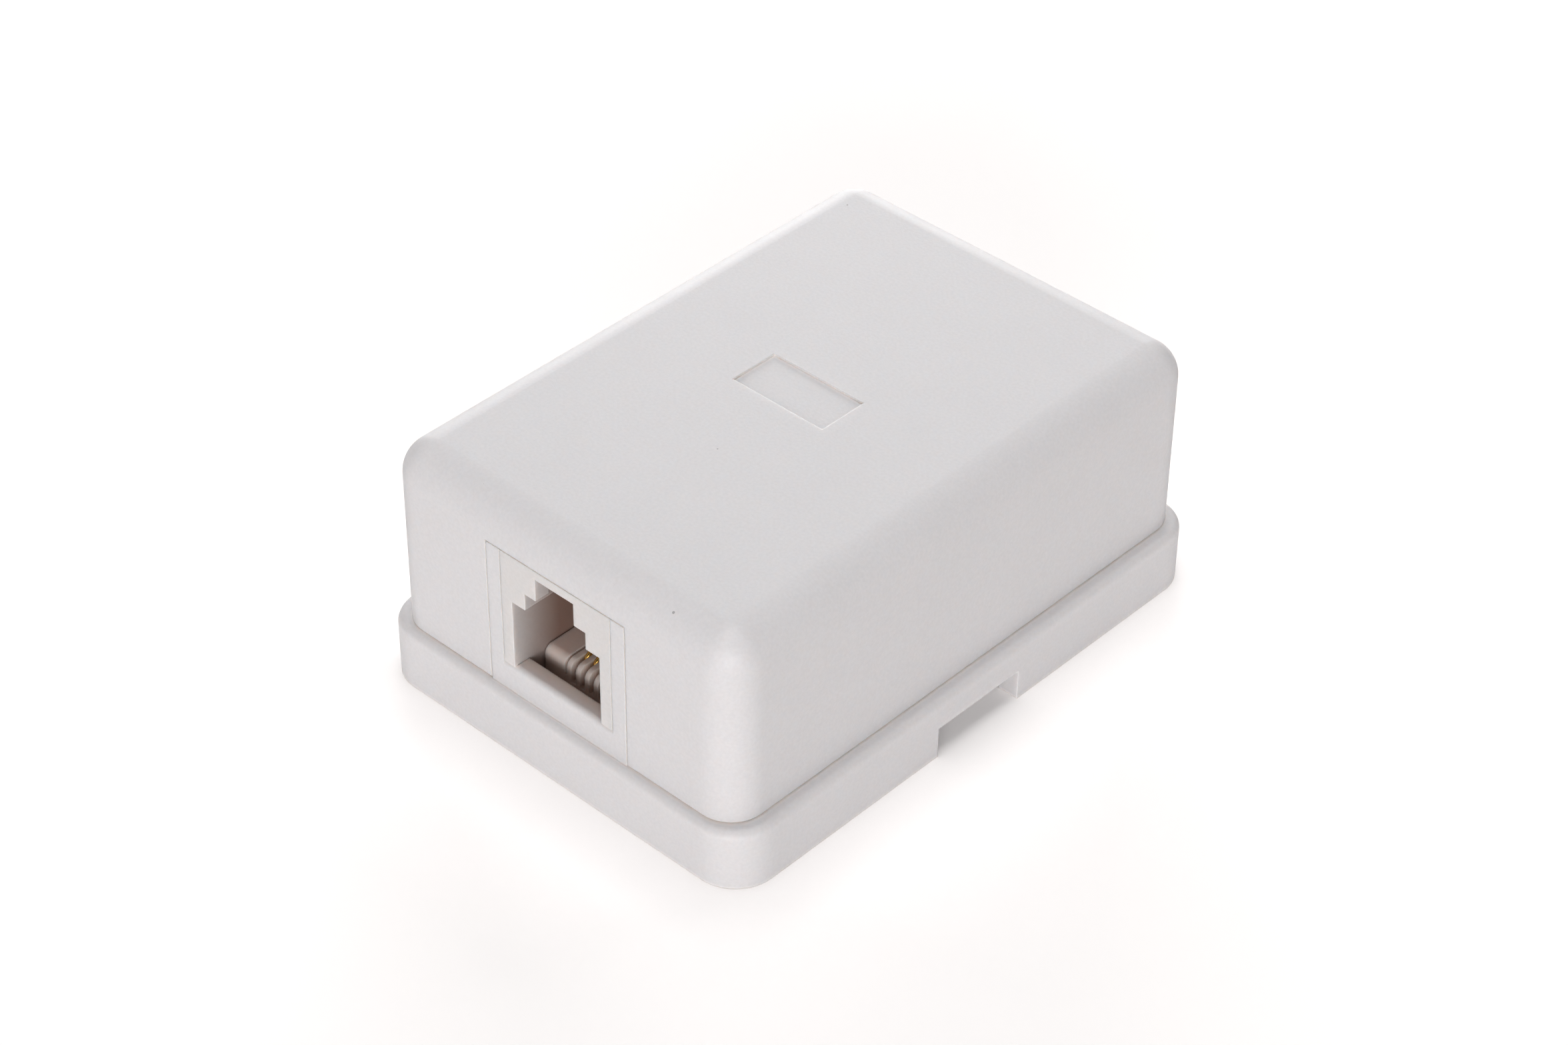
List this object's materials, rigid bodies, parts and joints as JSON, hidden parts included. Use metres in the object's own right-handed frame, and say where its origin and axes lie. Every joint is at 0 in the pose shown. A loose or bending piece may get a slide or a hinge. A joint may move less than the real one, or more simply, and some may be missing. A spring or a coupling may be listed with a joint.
{
  "type": "surface mount jack box",
  "caption": "Small white surface mount telephone jack box: lift-off cover over a low base, modular socket in one short side and screw terminals inside.",
  "frame": {"origin": "middle of the mounting surface, under the base", "axes": "-Y is the front with the socket, +Z leaves the wall or desk and is the way the cover lifts, X runs across the box"},
  "size_m": [0.041, 0.057, 0.0238],
  "materials": {
    "case_white": "moulded, fine grain",
    "socket_white": "moulded, satin",
    "contact_gold": "polished plating",
    "lead_black": "extruded",
    "lead_red": "extruded",
    "lead_green": "extruded",
    "lead_yellow": "extruded",
    "tinned_metal": "tinned",
    "plated_steel": "zinc plated"
  },
  "bodies": {
    "base": {"base": "case_white", "jack_housing": "socket_white", "contact_carrier": "socket_white", "contact_wire_1": "contact_gold", "lead_black": "lead_black", "spade_lug_1": "tinned_metal", "contact_wire_2": "contact_gold", "lead_red": "lead_red", "spade_lug_2": "tinned_metal", "contact_wire_3": "contact_gold", "lead_green": "lead_green", "spade_lug_3": "tinned_metal", "contact_wire_4": "contact_gold", "lead_yellow": "lead_yellow", "spade_lug_4": "tinned_metal"},
    "cover": {"cover": "case_white"},
    "terminal_washer_1": {"terminal_washer_1": "plated_steel"},
    "terminal_screw_1": {"terminal_screw_1": "plated_steel"},
    "terminal_washer_2": {"terminal_washer_2": "plated_steel"},
    "terminal_screw_2": {"terminal_screw_2": "plated_steel"},
    "terminal_washer_3": {"terminal_washer_3": "plated_steel"},
    "terminal_screw_3": {"terminal_screw_3": "plated_steel"},
    "terminal_washer_4": {"terminal_washer_4": "plated_steel"},
    "terminal_screw_4": {"terminal_screw_4": "plated_steel"}
  },
  "joints": [
    {"name": "cover_lift", "type": "slide", "parent": "base", "child": "cover", "axis": [0, 0, 1], "range_m": [0, 0.03]},
    {"name": "terminal_washer_1_rise", "type": "slide", "parent": "base", "child": "terminal_washer_1", "axis": [0, 0, 1], "range_m": [0, 0.00175]},
    {"name": "terminal_screw_1_turn", "type": "hinge", "parent": "terminal_washer_1", "child": "terminal_screw_1", "pos_m": [-0.0115, -0.001, 0.01], "axis": [0, 0, 1], "range_deg": [0, 900.1]},
    {"name": "terminal_washer_2_rise", "type": "slide", "parent": "base", "child": "terminal_washer_2", "axis": [0, 0, 1], "range_m": [0, 0.00175]},
    {"name": "terminal_screw_2_turn", "type": "hinge", "parent": "terminal_washer_2", "child": "terminal_screw_2", "pos_m": [-0.0115, 0.014, 0.01], "axis": [0, 0, 1], "range_deg": [0, 900.1]},
    {"name": "terminal_washer_3_rise", "type": "slide", "parent": "base", "child": "terminal_washer_3", "axis": [0, 0, 1], "range_m": [0, 0.00175]},
    {"name": "terminal_screw_3_turn", "type": "hinge", "parent": "terminal_washer_3", "child": "terminal_screw_3", "pos_m": [0.0115, 0.014, 0.01], "axis": [0, 0, 1], "range_deg": [0, 900.1]},
    {"name": "terminal_washer_4_rise", "type": "slide", "parent": "base", "child": "terminal_washer_4", "axis": [0, 0, 1], "range_m": [0, 0.00175]},
    {"name": "terminal_screw_4_turn", "type": "hinge", "parent": "terminal_washer_4", "child": "terminal_screw_4", "pos_m": [0.0115, -0.001, 0.01], "axis": [0, 0, 1], "range_deg": [0, 900.1]}
  ],
  "couplings": [
    {"joint": "terminal_screw_1_turn", "follows": "terminal_washer_1_rise", "rad_per_m": 8976},
    {"joint": "terminal_screw_2_turn", "follows": "terminal_washer_2_rise", "rad_per_m": 8976},
    {"joint": "terminal_screw_3_turn", "follows": "terminal_washer_3_rise", "rad_per_m": 8976},
    {"joint": "terminal_screw_4_turn", "follows": "terminal_washer_4_rise", "rad_per_m": 8976}
  ]
}
